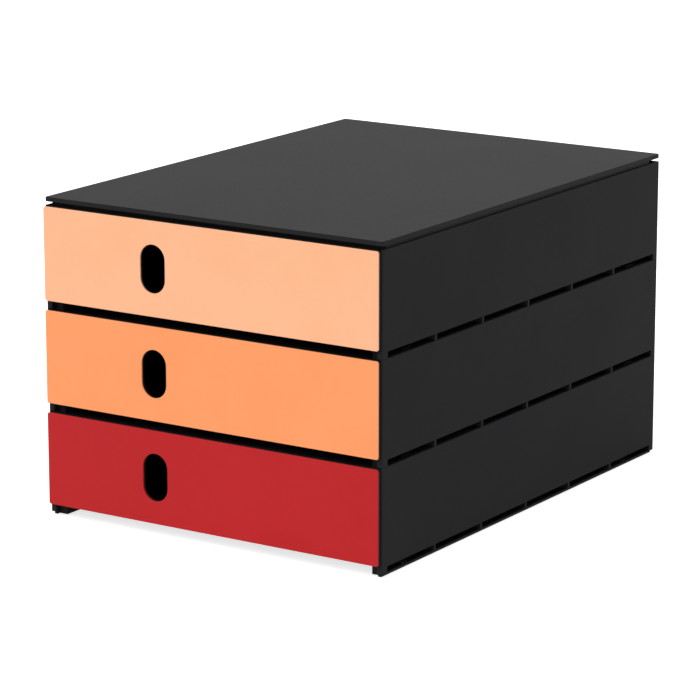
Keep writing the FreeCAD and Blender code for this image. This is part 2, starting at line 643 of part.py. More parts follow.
def make_clips(level, name):
    """Four flat, double-ended snap clips that lock one module's deck to what stands on it."""
    body = new_body(name)
    bottom = f"({DECK_BOTTOM} - Sizes.snap_height)"
    lower_snap = f"({DECK_BOTTOM} - Sizes.clip_play)"
    collar_bottom = f"({DECK_TOP} - Sizes.collar_height)"
    upper_snap = f"({RIM_TOP} + Sizes.clip_play)"
    top = f"({RIM_TOP} + Sizes.snap_height)"
    slit = "(Sizes.clip_slit / 2)"
    tip = f"({SNAP_HALF} - Sizes.snap_taper)"
    right_half = [
        (slit, f"({collar_bottom} - Sizes.clip_web)"), (slit, bottom), (tip, bottom),
        (SNAP_HALF, lower_snap), (SHANK_HALF, lower_snap), (SHANK_HALF, collar_bottom),
        (COLLAR_HALF, collar_bottom), (COLLAR_HALF, DECK_TOP), (SHANK_HALF, DECK_TOP),
        (SHANK_HALF, upper_snap), (SNAP_HALF, upper_snap), (tip, top),
        (slit, top), (slit, f"({DECK_TOP} + Sizes.clip_web)"),
    ]
    sketch = sketch_on(body, "Profile", "XZ_Plane", minus(f"({CLIP_FRONT} + Sizes.clip_length / 2)"))
    for middle in (CLIP_X, minus(CLIP_X)):
        right = [(f"({middle} + {x})", z) for x, z in right_half]
        left = [(f"({middle} - {x})", z) for x, z in reversed(right_half)]
        polygon(sketch, right + left)
    front_pair = pad(body, "FrontPair", sketch, "Sizes.clip_length")
    repeat(body, "BothPairs", front_pair, "Y_Axis", f"{CLIP_REAR} - {CLIP_FRONT}", "2")
    stand_on_level(body, level)
    return body


def make_foot(x, y, name):
    """A rubber pad in its pocket under a side rail."""
    body = new_body(name)
    sketch = sketch_on(body, "PadPlan", "XY_Plane", "-Sizes.pad_stand")
    rectangles_at(sketch, [(x, y)], "(Sizes.pad_width / 2)", "(Sizes.pad_length / 2)")
    block = pad(body, "Block", sketch, "Sizes.pad_stand + Sizes.pad_recess")
    chamfer(body, "LowerEdge", block, level_edges(block, number("-Sizes.pad_stand")), "Sizes.pad_edge")
    stand_on_level(body, 0)
    return body


# The whole stack

pieces = []
for level, level_name in enumerate(LEVELS):
    pieces.append(make_housing(level, level_name))
    pieces.append(make_tray(level, level_name))
    pieces.append(make_panel(level, level_name))
for level, joint_name in enumerate(["lower", "upper", "cover"]):
    pieces.append(make_clips(level, f"connector_clips_{joint_name}"))
pieces.append(make_cover())
for end, y in (("front", PAD_FRONT), ("rear", PAD_REAR)):
    for hand, x in (("left", minus(PAD_X)), ("right", PAD_X)):
        pieces.append(make_foot(x, y, f"rubber_foot_{end}_{hand}"))
document.recompute()

for item in document.Objects:
    if {"Invalid", "Error"} & set(item.State):
        raise RuntimeError(f"{item.Name} has failed: {item.State}")
for piece in pieces:
    if piece.Shape.isNull() or not piece.Shape.isValid():
        raise RuntimeError(f"{piece.Label} has no valid shape")

os.makedirs("parts", exist_ok=True)
for piece in pieces:
    piece.Shape.exportStep(f"parts/{piece.Label}.step")
    box = piece.Shape.BoundBox
    size = f"{box.XLength:.2f} x {box.YLength:.2f} x {box.ZLength:.2f} mm"
    print(f"{piece.Label}: {len(piece.Shape.Solids)} solid(s), {size}")
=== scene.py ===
import math
import bmesh
import bpy
from mathutils import Matrix, Vector


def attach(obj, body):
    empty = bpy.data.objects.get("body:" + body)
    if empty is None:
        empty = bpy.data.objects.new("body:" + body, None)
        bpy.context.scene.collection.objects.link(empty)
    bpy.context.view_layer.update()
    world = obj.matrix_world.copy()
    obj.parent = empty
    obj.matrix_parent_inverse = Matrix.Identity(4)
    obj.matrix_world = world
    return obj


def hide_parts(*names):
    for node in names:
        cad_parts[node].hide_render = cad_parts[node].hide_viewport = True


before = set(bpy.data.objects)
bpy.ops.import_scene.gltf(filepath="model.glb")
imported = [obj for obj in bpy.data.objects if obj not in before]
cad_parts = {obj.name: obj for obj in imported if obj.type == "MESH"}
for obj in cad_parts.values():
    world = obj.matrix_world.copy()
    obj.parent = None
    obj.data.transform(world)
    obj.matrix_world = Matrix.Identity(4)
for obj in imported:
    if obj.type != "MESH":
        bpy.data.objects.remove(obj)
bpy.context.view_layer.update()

mm = 0.001
levels = ["bottom", "middle", "top"]
print("frame loaded:", len(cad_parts), "nodes")


# materials

def linearColour(hexText):
    channels = [int(hexText[i:i + 2], 16) / 255 for i in (1, 3, 5)]
    linear = [c / 12.92 if c <= 0.04045 else ((c + 0.055) / 1.055) ** 2.4 for c in channels]
    return (*linear, 1.0)


def addNode(tree, kind, values=None, **settings):
    # an input whose value is another node's output is linked to it
    node = tree.nodes.new(kind)
    for name, value in settings.items():
        setattr(node, name, value)
    for key, value in (values or {}).items():
        if isinstance(value, bpy.types.NodeSocket):
            tree.links.new(value, node.inputs[key])
        else:
            node.inputs[key].default_value = value
    return node


# a noise's values lie mostly in the middle of 0 to 1, and these spread them over the whole
cloudRange = {"From Min": 0.35, "From Max": 0.65}
grainRange = {"From Min": 0.3, "From Max": 0.7}


def mouldedPlastic(name, values):
    # tone: colour that wanders slowly as the melt cools, and lies a shade darker in the pits of the grain
    # gloss and bump: the grain that the mould's wall leaves, which breaks a reflection into a soft sheen
    material = bpy.data.materials.new(name)
    material.use_nodes = True
    tree = material.node_tree
    tree.nodes.clear()
    place = addNode(tree, "ShaderNodeTexCoord").outputs["Object"]
    cloud = addNode(tree, "ShaderNodeTexNoise", {
        "Vector": place, "Scale": 1 / (values["cloudSize"] * mm), "Detail": 3.0, "Roughness": 0.55,
    }).outputs["Fac"]
    grain = addNode(tree, "ShaderNodeTexNoise", {
        "Vector": place, "Scale": 1 / (values["grainSize"] * mm), "Detail": 2.0, "Roughness": 0.6,
    }).outputs["Fac"]
    mixed = addNode(tree, "ShaderNodeMix", {
        "Factor": values["grainTone"], "A": cloud, "B": grain,
    }, data_type="FLOAT").outputs["Result"]
    spread = addNode(tree, "ShaderNodeMapRange", {"Value": mixed, **cloudRange}).outputs["Result"]
    tone = addNode(tree, "ShaderNodeMix", {
        "Factor": spread, "A": linearColour(values["dark"]), "B": linearColour(values["light"]),
    }, data_type="RGBA").outputs["Result"]
    if "paintedShadeReach" in values:    # painted shade: the colour is darkened in this piece's own slots and corners, where its walls close in
        tone = addNode(tree, "ShaderNodeAmbientOcclusion", {
            "Color": tone, "Distance": values["paintedShadeReach"] * mm,
        }, only_local=True, samples=8).outputs["Color"]
    gloss = addNode(tree, "ShaderNodeMapRange", {
        "Value": grain, **grainRange,
        "To Min": values["roughness"] - values["roughnessSpread"],
        "To Max": values["roughness"] + values["roughnessSpread"],
    }).outputs["Result"]
    bump = addNode(tree, "ShaderNodeBump", {
        "Height": grain, "Strength": values["grainStrength"], "Distance": values["grainDepth"] * mm,
    }).outputs["Normal"]
    shader = addNode(tree, "ShaderNodeBsdfPrincipled", {
        "Base Color": tone, "Roughness": gloss, "Normal": bump,
        "IOR": values["ior"], "Specular IOR Level": values["specular"],
    }).outputs["BSDF"]
    addNode(tree, "ShaderNodeOutputMaterial", {"Surface": shader})
    return material


# colours are sRGB hex and sizes are in millimetres
# the real grain is 0.1 to 0.2 mm across, too fine to show, so it is drawn about four times as coarse
# the black parts' specular is low, because their grain is deep enough to swallow most of the white room
finishValues = {
    # ABS moulded in a spark-eroded tool: dull charcoal sides that go softly grey towards the light, with
    # painted shade in the slots and corners
    "sparkedAbsHousing": {
        "dark": "#262628", "light": "#29292B", "cloudSize": 60, "grainSize": 0.7, "grainTone": 0.3,
        "grainStrength": 0.35, "grainDepth": 0.05, "roughness": 0.5, "roughnessSpread": 0.05,
        "ior": 1.54, "specular": 0.018, "paintedShadeReach": 6,
    },
    # the same ABS from a finer tool, with painted shade: a shade darker, since it is seen in the shadow of
    # its housing
    "satinAbsTray": {
        "dark": "#1E1E20", "light": "#222224", "cloudSize": 60, "grainSize": 0.6, "grainTone": 0.3,
        "grainStrength": 0.3, "grainDepth": 0.04, "roughness": 0.5, "roughnessSpread": 0.05,
        "ior": 1.54, "specular": 0.025,
    },
    # the same ABS on the widest flat face: an even satin sheen at a low angle, with no streaks
    "satinAbsCover": {
        "dark": "#252527", "light": "#29292B", "cloudSize": 70, "grainSize": 0.7, "grainTone": 0.3,
        "grainStrength": 0.35, "grainDepth": 0.05, "roughness": 0.46, "roughnessSpread": 0.05,
        "ior": 1.54, "specular": 0.021,
    },
    # acetal snap clips, smooth and a little waxy: painted shade makes them near-black, so that they don't
    # show in the slots
    "waxyAcetalClip": {
        "dark": "#050506", "light": "#080809", "cloudSize": 12, "grainSize": 0.5, "grainTone": 0.2,
        "grainStrength": 0.15, "grainDepth": 0.02, "roughness": 0.38, "roughnessSpread": 0.04,
        "ior": 1.48, "specular": 0.01,
    },
    # polystyrene facings, coloured right through and moulded matt: flat, chalky colour without a glint
    "mattPolystyrenePeach": {
        "dark": "#FEB98D", "light": "#FFBF95", "cloudSize": 45, "grainSize": 0.6, "grainTone": 0.35,
        "grainStrength": 0.25, "grainDepth": 0.03, "roughness": 0.5, "roughnessSpread": 0.05,
        "ior": 1.59, "specular": 0.15,
    },
    "mattPolystyreneOrange": {
        "dark": "#FE9D64", "light": "#FFA26B", "cloudSize": 45, "grainSize": 0.6, "grainTone": 0.35,
        "grainStrength": 0.25, "grainDepth": 0.03, "roughness": 0.5, "roughnessSpread": 0.05,
        "ior": 1.59, "specular": 0.15,
    },
    "mattPolystyreneRed": {
        "dark": "#B7191E", "light": "#BC1C21", "cloudSize": 45, "grainSize": 0.6, "grainTone": 0.35,
        "grainStrength": 0.25, "grainDepth": 0.03, "roughness": 0.5, "roughnessSpread": 0.05,
        "ior": 1.59, "specular": 0.15,
    },
    # moulded rubber pads: dead matt and darker than the plastic round them
    "mattRubberPad": {
        "dark": "#131314", "light": "#171718", "cloudSize": 20, "grainSize": 0.5, "grainTone": 0.3,
        "grainStrength": 0.4, "grainDepth": 0.05, "roughness": 0.75, "roughnessSpread": 0.05,
        "ior": 1.52, "specular": 0.05,
    },
}
finishes = {name: mouldedPlastic(name, values) for name, values in finishValues.items()}
print("materials made:", len(finishes))


# shared mesh helpers: solids are drawn in millimetres, and finishPiece brings them to their level in metres

past = 2.0       # a cutter runs this far past the face it opens
bite = 0.5       # joined solids run this far into each other
weldGap = 0.001  # corners nearer than this are one
flatAngle = 0.5  # degrees; faces that meet flatter than this are one


def roundedOutline(left, right, low, high, radii, steps=5):
    # radii in turn: right low, right high, left high, left low corner
    corners = [(right, low, -90), (right, high, 0), (left, high, 90), (left, low, 180)]
    points = []
    for (x, y, start), radius in zip(corners, radii):
        if radius <= 0:
            points.append((x, y))
            continue
        middleX = x - math.copysign(radius, x - (left + right) / 2)
        middleY = y - math.copysign(radius, y - (low + high) / 2)
        for step in range(steps + 1):
            angle = math.radians(start + 90 * step / steps)
            points.append((middleX + radius * math.cos(angle), middleY + radius * math.sin(angle)))
    return points


def boxOutline(left, right, low, high):
    return roundedOutline(left, right, low, high, (0, 0, 0, 0))


def mirrored(half):
    # a closed outline from its right half, given in order from one end of the middle line to the other
    return half + [(-x, y) for x, y in reversed(half)]


def loft(rings):
    # a closed solid through rings of equal point counts, capped at both ends
    shape = bmesh.new()
    loops = [[shape.verts.new(point) for point in ring] for ring in rings]
    count = len(loops[0])
    shape.faces.new(loops[0])
    shape.faces.new(loops[-1])
    for lower, upper in zip(loops, loops[1:]):
        for turn in range(count):
            following = (turn + 1) % count
            shape.faces.new((lower[turn], lower[following], upper[following], upper[turn]))
    bmesh.ops.recalc_face_normals(shape, faces=shape.faces)
    mesh = bpy.data.meshes.new("solid")
    shape.to_mesh(mesh)
    shape.free()
    return mesh


def prism(outline, low, high, along="Z"):
    if along == "Y":
        return loft([[(a, level, b) for a, b in outline] for level in (low, high)])
    return loft([[(a, b, level) for a, b in outline] for level in (low, high)])


def newObject(name, data):
    piece = bpy.data.objects.new(name, data)
    bpy.context.scene.collection.objects.link(piece)
    return piece


def copyOf(piece, name):
    return newObject(name, piece.data.copy())


def discard(piece):
    mesh = piece.data
    bpy.data.objects.remove(piece)
    bpy.data.meshes.remove(mesh)


def settle(piece):
    # works the piece's modifiers into a plain mesh
    graph = bpy.context.evaluated_depsgraph_get()
    mesh = bpy.data.meshes.new_from_object(piece.evaluated_get(graph))
    old = piece.data
    piece.modifiers.clear()
    piece.data = mesh
    bpy.data.meshes.remove(old)


def carve(piece, operation, solids):
    for solid in solids:
        tool = newObject("tool", solid)
        change = piece.modifiers.new("carve", "BOOLEAN")
        change.solver = "EXACT"
        change.operation = operation
        change.object = tool
        settle(piece)
        discard(tool)


def tidySolid(piece):
    # joins what the carving left split, so that a bevel runs cleanly round every edge
    shape = bmesh.new()
    shape.from_mesh(piece.data)
    bmesh.ops.remove_doubles(shape, verts=shape.verts, dist=weldGap)
    flat = math.radians(flatAngle)
    bmesh.ops.dissolve_limit(shape, angle_limit=flat, verts=shape.verts, edges=shape.edges)
    bmesh.ops.recalc_face_normals(shape, faces=shape.faces)
    shape.to_mesh(piece.data)
    shape.free()


def softenEdges(piece, width, segments=2, angle=40):
    # the small radius that a mould leaves on every edge, with flat faces kept flat
    tidySolid(piece)
    bevel = piece.modifiers.new("edges", "BEVEL")
    bevel.width = width
    bevel.segments = segments
    bevel.limit_method = "ANGLE"
    bevel.angle_limit = math.radians(angle)
    bevel.use_clamp_overlap = False
    bevel.miter_outer = "MITER_ARC"
    settle(piece)
    for face in piece.data.polygons:
        face.use_smooth = True
    weighted = piece.modifiers.new("flats", "WEIGHTED_NORMAL")
    weighted.mode = "FACE_AREA"
    weighted.weight = 100
    settle(piece)


def finishPiece(piece, finish, body, nodes=(), lift=0.0):
    piece.data.transform(Matrix.Scale(mm, 4) @ Matrix.Translation((0, 0, lift)))
    piece.data.name = piece.name
    piece.data.materials.clear()
    piece.data.materials.append(finishes[finish])
    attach(piece, body)
    if nodes:
        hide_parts(*nodes)


# rows of one shape, for the ribs, clips and pads

def makeRowTree():
    # one row along the first step, and the whole row again along the second
    tree = bpy.data.node_groups.new("rowsOfOneShape", "GeometryNodeTree")
    for name, kind in (
        ("Shape", "NodeSocketObject"), ("Start", "NodeSocketVector"), ("Count", "NodeSocketInt"),
        ("Step", "NodeSocketVector"), ("Rows", "NodeSocketInt"), ("Row Step", "NodeSocketVector"),
        ("Material", "NodeSocketMaterial"),
    ):
        tree.interface.new_socket(name, in_out="INPUT", socket_type=kind)
    tree.interface.new_socket("Geometry", in_out="OUTPUT", socket_type="NodeSocketGeometry")
    given = tree.nodes.new("NodeGroupInput").outputs
    shape = addNode(tree, "GeometryNodeObjectInfo", {"Object": given["Shape"]}).outputs["Geometry"]
    points = addNode(tree, "GeometryNodeMeshLine", {
        "Count": given["Count"], "Start Location": given["Start"], "Offset": given["Step"],
    }).outputs["Mesh"]
    row = addNode(tree, "GeometryNodeInstanceOnPoints", {
        "Points": points, "Instance": shape,
    }).outputs["Instances"]
    rowPoints = addNode(tree, "GeometryNodeMeshLine", {
        "Count": given["Rows"], "Offset": given["Row Step"],
    }).outputs["Mesh"]
    rows = addNode(tree, "GeometryNodeInstanceOnPoints", {
        "Points": rowPoints, "Instance": row,
    }).outputs["Instances"]
    real = addNode(tree, "GeometryNodeRealizeInstances", {"Geometry": rows}).outputs["Geometry"]
    dressed = addNode(tree, "GeometryNodeSetMaterial", {
        "Geometry": real, "Material": given["Material"],
    }).outputs["Geometry"]
    addNode(tree, "NodeGroupOutput", {"Geometry": dressed})
    return tree


rowTree = makeRowTree()


def makeRows(name, shape, finish, start, count, step, rows=1, rowStep=(0, 0, 0)):
    piece = newObject(name, bpy.data.meshes.new(name))
    modifier = piece.modifiers.new("rows", "NODES")
    modifier.node_group = rowTree
    wanted = {
        "Shape": shape, "Start": start, "Count": count, "Step": step,
        "Rows": rows, "Row Step": rowStep, "Material": finishes[finish],
    }
    for item in rowTree.interface.items_tree:
        if item.in_out == "INPUT":
            modifier[item.identifier] = wanted[item.name]
    settle(piece)
    return piece


# housings: three alike one-piece shells, open at the front, with a slotted rail that nests in the rim below

housingSizes = {
    "side": 121.5, "front": -163.9, "rear": 167.0, "cornerRadius": 0.8,
    "slotFloor": 1.7, "slotTop": 5.8, "ledgeTop": 7.4, "deckBottom": 62.1, "deckTop": 64.3, "rimTop": 66.0,
    "wall": 2.6, "rim": 1.2, "ringInset": 1.4, "slotDepth": 7.4, "railDepth": 9.4,
    "railSetback": 3.8, "postWidth": 3.8, "postLength": 5.8, "deckSetback": 3.2,
    "barDepth": 2.2, "stopDrop": 1.2,
    "stopMiddle": 60.0, "stopHalf": 7.0, "stopRear": -88.7, "stopDepth": 2.5,
    "ribThickness": 2.2, "sideRibs": 5, "rearRibs": 3, "ribRecess": 0.15, "ribBite": 0.1, "ribLift": 0.02,
    "edge": 0.22, "ribEdge": 0.12,
}

# clips join the modules and pads carry the stack: one near each corner, in a socket with play all round
clipSizes = {
    "x": 116.4, "front": -132.7, "rear": 135.8, "halfLength": 5.0, "play": 0.1,
    "shankHalf": 1.5, "snapHalf": 1.9, "collarHalf": 2.7, "collarHeight": 0.6, "tipHalf": 1.4,
    "snapHeight": 1.2, "slitHalf": 0.35, "web": 0.5, "edge": 0.12,
}
padSizes = {
    "x": 116.1, "front": -146.9, "rear": 150.0, "halfWidth": 2.8, "halfLength": 9.0, "play": 0.1,
    "depth": 0.8, "stand": 0.4, "edge": 0.3,
}
# the pads lift the whole stack, and each module stands on the deck of the one below
levelLift = {level: padSizes["stand"] + turn * housingSizes["deckTop"] for turn, level in enumerate(levels)}


def socketPlaces(sizes, half):
    # one small rectangle near each corner of the stack, with play all round
    halfX, halfY = half + sizes["play"], sizes["halfLength"] + sizes["play"]
    return [
        boxOutline(sign * sizes["x"] - halfX, sign * sizes["x"] + halfX, y - halfY, y + halfY)
        for sign in (-1, 1) for y in (sizes["front"], sizes["rear"])
    ]


def railOutline(h):
    # the ring that nests in the rim below: both sides and the rear, with a short post at each front corner
    side, rear = h["side"] - h["ringInset"], h["rear"] - h["ringInset"]
    front, setback = h["front"] + h["ringInset"], h["front"] + h["railSetback"]
    post, inner = h["side"] - h["postWidth"], h["side"] - h["railDepth"]
    return mirrored([
        (side, rear), (side, front), (post, front), (post, setback),
        (inner, setback), (inner, h["rear"] - h["railDepth"]),
    ])


def housingHollows(h):
    side, front, rear = h["side"], h["front"], h["rear"]
    inside, rimSide = side - h["wall"], side - h["rim"]
    inner, innerRear = side - h["railDepth"], rear - h["railDepth"]
    post, setback = side - h["postWidth"], front + h["railSetback"]
    underside = mirrored([(post, front - past), (post, setback), (inner, setback), (inner, innerRear)])
    slotSide, slotRear = side - h["slotDepth"], rear - h["slotDepth"]
    slotEnds = (front + h["postLength"], rear - h["postLength"])
    slotLow, slotTop, deckTop = h["slotFloor"] - past, h["slotTop"], h["deckTop"]
    deckFront = front + h["deckSetback"]
    return [
        prism(boxOutline(-inside, inside, front - past, rear - h["wall"]), h["ledgeTop"], h["deckBottom"]),
        prism(boxOutline(-rimSide, rimSide, front - past, rear - h["rim"]), deckTop, h["rimTop"] + past),
        prism(boxOutline(-inside, inside, front - past, deckFront), h["deckBottom"] - past, deckTop + past),
        prism(underside, slotLow, h["ledgeTop"] + bite),
        prism(boxOutline(slotSide, side + past, *slotEnds), slotLow, slotTop),
        prism(boxOutline(-side - past, -slotSide, *slotEnds), slotLow, slotTop),
        prism(boxOutline(-inner, inner, slotRear, rear + past), slotLow, slotTop),
    ]


def deckStops(h):
    # a stiffening bar behind the deck's front edge, and the blocks that hold back an open drawer
    low, high = h["deckBottom"] - h["stopDrop"], h["deckBottom"] + bite
    inside, barFront = h["side"] - h["wall"] + bite, h["front"] + h["deckSetback"]
    outlines = [boxOutline(-inside, inside, barFront, barFront + h["barDepth"])]
    for sign in (-1, 1):
        middle = sign * h["stopMiddle"]
        stopFront = h["stopRear"] - h["stopDepth"]
        outlines.append(boxOutline(middle - h["stopHalf"], middle + h["stopHalf"], stopFront, h["stopRear"]))
    return [prism(outline, low, high) for outline in outlines]


def housingSockets(h, c, p):
    sockets = []
    for sizes, half, low, high in (
        (c, c["shankHalf"], h["deckBottom"] - past, h["deckTop"] + past),
        (c, c["collarHalf"], h["deckTop"] - c["collarHeight"], h["deckTop"] + past),
        (c, c["shankHalf"], -past, h["slotFloor"] + bite),
        (p, p["halfWidth"], -past, p["depth"]),
    ):
        sockets += [prism(place, low, high) for place in socketPlaces(sizes, half)]
    return sockets


def makeHousingShell(h, c, p):
    outline = roundedOutline(-h["side"], h["side"], h["front"], h["rear"], (h["cornerRadius"],) * 4)
    shell = newObject("housingShell", prism(outline, h["slotFloor"], h["rimTop"]))
    carve(shell, "DIFFERENCE", housingHollows(h))
    carve(shell, "UNION", [prism(railOutline(h), 0, h["slotFloor"])] + deckStops(h))
    carve(shell, "DIFFERENCE", housingSockets(h, c, p))
    softenEdges(shell, h["edge"])
    return shell


def makeSlotRibs(h):
    # one rib of a side slot, where x is its depth, and one of the rear slots, where y is
    half, low, high = h["ribThickness"] / 2, h["slotFloor"] + h["ribLift"], h["slotTop"] + h["ribBite"]
    deep = h["slotDepth"] + h["ribBite"]
    sideOutline = boxOutline(h["side"] - deep, h["side"] - h["ribRecess"], -half, half)
    rearOutline = boxOutline(-half, half, h["rear"] - deep, h["rear"] - h["ribRecess"])
    ribs = [newObject("rib", prism(outline, low, high)) for outline in (sideOutline, rearOutline)]
    for rib in ribs:
        softenEdges(rib, h["ribEdge"])
    return ribs


def makeHousings(h, c, p):
    finish, slot, body = "sparkedAbsHousing", "housing_plastic", "stack"
    thick = h["ribThickness"]
    shell = makeHousingShell(h, c, p)
    sideRib, rearRib = makeSlotRibs(h)
    sideStep = (h["rear"] - h["front"] - 2 * h["postLength"] + thick) / (h["sideRibs"] + 1)
    sideStart = h["front"] + h["postLength"] + sideStep - thick / 2
    across = 2 * h["side"] - h["slotDepth"] - h["ribBite"] - h["ribRecess"]
    inner = h["side"] - h["railDepth"]
    rearStep = (2 * inner + thick) / (h["rearRibs"] + 1)
    rearStart = -inner + rearStep - thick / 2
    for level in levels:
        lift = levelLift[level]
        finishPiece(copyOf(shell, f"housing_shell_{level}"), finish, body, [f"housing_{level}"], lift)
        sideRibs = makeRows(
            f"side_slot_ribs_{level}", sideRib, finish, start=(0, sideStart, 0),
            count=h["sideRibs"], step=(0, sideStep, 0), rows=2, rowStep=(-across, 0, 0))
        finishPiece(sideRibs, finish, body, lift=lift)
        rearRibs = makeRows(
            f"rear_slot_ribs_{level}", rearRib, finish, start=(rearStart, 0, 0),
            count=h["rearRibs"], step=(rearStep, 0, 0))
        finishPiece(rearRibs, finish, body, lift=lift)
    for shape in (shell, sideRib, rearRib):
        discard(shape)


makeHousings(housingSizes, clipSizes, padSizes)
print("housings made:", len(levels))


# clips between the modules, and the pads under the lowest rail

def clipProfile(h, c):
    # a collar rests in the deck, and two slit legs snap under the deck below and over the foot ring above
    web, slit, tip = c["web"], c["slitHalf"], c["tipHalf"]
    shank, snap, collar = c["shankHalf"], c["snapHalf"], c["collarHalf"]
    lowerSnap, upperSnap = h["deckBottom"] - c["play"], h["rimTop"] + c["play"]
    bottom, top = h["deckBottom"] - c["snapHeight"], h["rimTop"] + c["snapHeight"]
    collarLow, collarHigh = h["deckTop"] - c["collarHeight"], h["deckTop"]
    return mirrored([
        (slit, collarLow - web), (slit, bottom), (tip, bottom), (snap, lowerSnap), (shank, lowerSnap),
        (shank, collarLow), (collar, collarLow), (collar, collarHigh), (shank, collarHigh),
        (shank, upperSnap), (snap, upperSnap), (tip, top), (slit, top), (slit, collarHigh + web),
    ])


def rowsAtCorners(name, shape, finish, sizes):
    return makeRows(
        name, shape, finish, start=(-sizes["x"], sizes["front"], 0),
        count=2, step=(0, sizes["rear"] - sizes["front"], 0), rows=2, rowStep=(2 * sizes["x"], 0, 0))


def makeClips(h, c):
    finish = "waxyAcetalClip"
    clip = newObject("clip", prism(clipProfile(h, c), -c["halfLength"], c["halfLength"], "Y"))
    softenEdges(clip, c["edge"])
    for level, joint in zip(levels, ("lower", "upper", "cover")):
        clips = rowsAtCorners(f"snap_clips_{joint}", clip, finish, c)
        finishPiece(clips, finish, "stack", [f"connector_clips_{joint}"], levelLift[level])
    discard(clip)


def makePads(p):
    finish = "mattRubberPad"
    outline = boxOutline(-p["halfWidth"], p["halfWidth"], -p["halfLength"], p["halfLength"])
    pad = newObject("pad", prism(outline, -p["stand"], p["depth"]))
    softenEdges(pad, p["edge"], segments=3)
    pads = rowsAtCorners("rubber_pads", pad, finish, p)
    nodes = [f"rubber_foot_{end}_{hand}" for end in ("front", "rear") for hand in ("left", "right")]
    finishPiece(pads, finish, "stack", nodes, levelLift["bottom"])
    discard(pad)


makeClips(housingSizes, clipSizes)
makePads(padSizes)
print("clips and pads made")


# drawers: a deep tray with a finger hole, and a coloured facing panel pegged to its front wall

# the front wall and its panel, which share one outline, finger hole and pegs
frontSizes = {
    "side": 120.55, "low": 7.3, "high": 65.7, "radius": 1.4,
    "face": -167.0, "panelBack": -166.0, "wallBack": -164.2, "panelEdge": 0.3,
    "holeX": -39.0, "holeZ": 36.5, "holeHalf": 9.0, "holeReach": 5.85, "holeSteps": 20,
    "pegX": 100.05, "pegLow": 16.5, "pegHigh": 56.5, "pegRadius": 1.5, "pegPlay": 0.1, "pegSteps": 20,
    "pegBite": 0.4,
}
# the cavity's corners are sharp at the front, and at the foot of the cove no rounder than leastRadius
traySizes = {
    "side": 118.1, "rear": 163.4, "bottom": 7.7, "top": 60.3, "wall": 1.8, "floor": 1.8,
    "cornerRadius": 5.0, "coveRadius": 2.0, "coveSteps": 6, "leastRadius": 0.6, "sharpRadius": 0.02,
    "flangeDepth": 1.2, "flangeThickness": 1.8,
    "tongueTop": 61.7, "tongueRoot": 3.0, "slit": 1.2, "slitDepth": 16.0, "edge": 0.25,
}
panelColours = {"bottom": "red", "middle": "orange", "top": "peach"}


def frontOutline(f):
    return roundedOutline(-f["side"], f["side"], f["low"], f["high"], (f["radius"],) * 4)


def fingerHoleOutline(f):
    points = []
    for centre, start in ((f["holeZ"] + f["holeReach"], 0), (f["holeZ"] - f["holeReach"], 180)):
        for step in range(f["holeSteps"] + 1):
            angle = math.radians(start + 180 * step / f["holeSteps"])
            x = f["holeX"] + f["holeHalf"] * math.cos(angle)
            points.append((x, centre + f["holeHalf"] * math.sin(angle)))
    return points


def pegOutlines(f, radius):
    turns = [2 * math.pi * step / f["pegSteps"] for step in range(f["pegSteps"])]
    return [
        [(x + radius * math.cos(turn), z + radius * math.sin(turn)) for turn in turns]
        for x in (-f["pegX"], f["pegX"]) for z in (f["pegLow"], f["pegHigh"])
    ]


def makeCavity(t, front):
    # the inside of the tray, with its coved floor edge
    inside, rear = t["side"] - t["wall"], t["rear"] - t["wall"]
    radius, cove, floor = t["cornerRadius"] - t["wall"], t["coveRadius"], t["bottom"] + t["floor"]
    sharp = t["sharpRadius"]
    rings = []
    for step in range(t["coveSteps"] + 1):
        angle = math.pi / 2 * step / t["coveSteps"]
        inset = cove * (1 - math.sin(angle))
        corner = max(radius - inset, t["leastRadius"])
        radii = (sharp, corner, corner, sharp)
        outline = roundedOutline(-inside + inset, inside - inset, front + inset, rear - inset, radii)
        rings.append([(x, y, floor + cove * (1 - math.cos(angle))) for x, y in outline])
    rings.append([(x, y, t["top"] + past) for x, y, _ in rings[-1]])
    return loft(rings)


def tongueOutlines(t, middle, half):
    # springy tongues in the rear wall, which meet the housing's stops, and the slits on both sides of each
    wallInner = t["rear"] - t["wall"]
    tongues, slits = [], []
    for centre in (-middle, middle):
        left, right = centre - half, centre + half
        tongues.append(boxOutline(left, right, wallInner, t["rear"]))
        for start in (left - t["slit"], right):
            slits.append(boxOutline(start, start + t["slit"], wallInner - past, t["rear"] + past))
    return tongues, slits


def makeTray(t, f, h):
    tray = newObject("tray", prism(frontOutline(f), f["panelBack"], f["wallBack"], "Y"))
    within = (f["panelBack"] + f["wallBack"]) / 2
    corner = t["cornerRadius"]
    box = roundedOutline(-t["side"], t["side"], within, t["rear"], (0, corner, corner, 0))
    flange = boxOutline(-t["side"], t["side"], within, f["wallBack"] + t["flangeDepth"])
    carve(tray, "UNION", [
        prism(box, t["bottom"], t["top"]),
        prism(flange, f["high"] - t["flangeThickness"], f["high"]),
    ])
    carve(tray, "DIFFERENCE", [makeCavity(t, f["wallBack"])])
    tongues, slits = tongueOutlines(t, h["stopMiddle"], h["stopHalf"])
    carve(tray, "UNION", [prism(place, t["top"] - t["tongueRoot"], t["tongueTop"]) for place in tongues])
    cuts = [prism(place, t["top"] - t["slitDepth"], t["top"] + past) for place in slits]
    holes = [fingerHoleOutline(f)] + pegOutlines(f, f["pegRadius"] + f["pegPlay"])
    cuts += [prism(hole, f["face"], f["wallBack"] + bite, "Y") for hole in holes]
    carve(tray, "DIFFERENCE", cuts)
    softenEdges(tray, t["edge"])
    return tray


